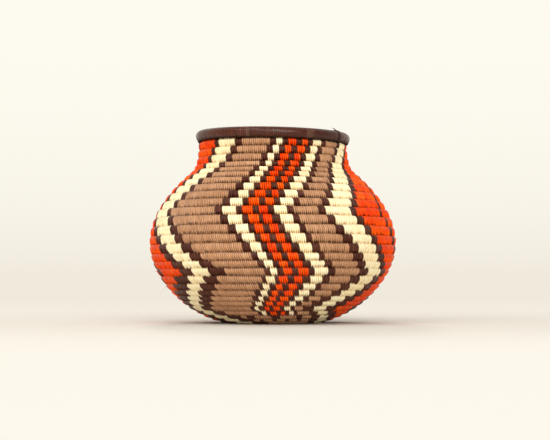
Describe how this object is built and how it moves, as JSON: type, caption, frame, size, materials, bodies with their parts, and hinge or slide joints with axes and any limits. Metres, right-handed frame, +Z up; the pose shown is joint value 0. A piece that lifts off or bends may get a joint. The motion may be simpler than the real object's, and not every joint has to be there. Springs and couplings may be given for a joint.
{
  "type": "coiled basket",
  "caption": "Round coiled basket jar with a short neck, a thick wrapped rim and a small flat foot, for holding small things.",
  "frame": {"origin": "middle of the underside, on the surface that the basket stands on", "axes": "+Z up through the mouth; -Y is the side that faces the camera in the picture; +X is to its right"},
  "size_m": [0.1448, 0.147, 0.1147],
  "materials": {
    "sewn_wall": "sewn palm or grass strands in tan, dark brown, cream and orange-red, satin",
    "sewn_floor": "sewn tan strands with small dark checks, satin",
    "bundle_fibre": "dry plant fibre bundle, matt",
    "dark_strand": "dark brown wrapped strand, satin"
  },
  "bodies": {
    "root": {"coil_start": "sewn_floor", "floor_row_01": "sewn_floor", "floor_row_02": "sewn_floor", "floor_row_03": "sewn_floor", "floor_row_04": "sewn_floor", "wall_row_01": "sewn_wall", "wall_row_02": "sewn_wall", "wall_row_03": "sewn_wall", "wall_row_04": "sewn_wall", "wall_row_05": "sewn_wall", "wall_row_06": "sewn_wall", "wall_row_07": "sewn_wall", "wall_row_08": "sewn_wall", "wall_row_09": "sewn_wall", "wall_row_10": "sewn_wall", "wall_row_11": "sewn_wall", "wall_row_12": "sewn_wall", "wall_row_13": "sewn_wall", "wall_row_14": "sewn_wall", "wall_row_15": "sewn_wall", "wall_row_16": "sewn_wall", "wall_row_17": "sewn_wall", "wall_row_18": "sewn_wall", "wall_row_19": "sewn_wall", "wall_row_20": "sewn_wall", "wall_row_21": "sewn_wall", "wall_row_22": "sewn_wall", "wall_row_23": "sewn_wall", "wall_row_24": "sewn_wall", "wall_row_25": "sewn_wall", "wall_row_26": "sewn_wall", "wall_row_27": "sewn_wall", "wall_row_28": "sewn_wall", "wall_row_29": "sewn_wall", "coil_tail": "sewn_wall", "floor_bundle": "bundle_fibre", "wall_bundle": "bundle_fibre", "rim_bundle": "bundle_fibre", "rim_binding_1": "dark_strand", "rim_binding_2": "dark_strand", "rim_binding_3": "dark_strand", "rim_tie": "dark_strand"}
  },
  "joints": []
}
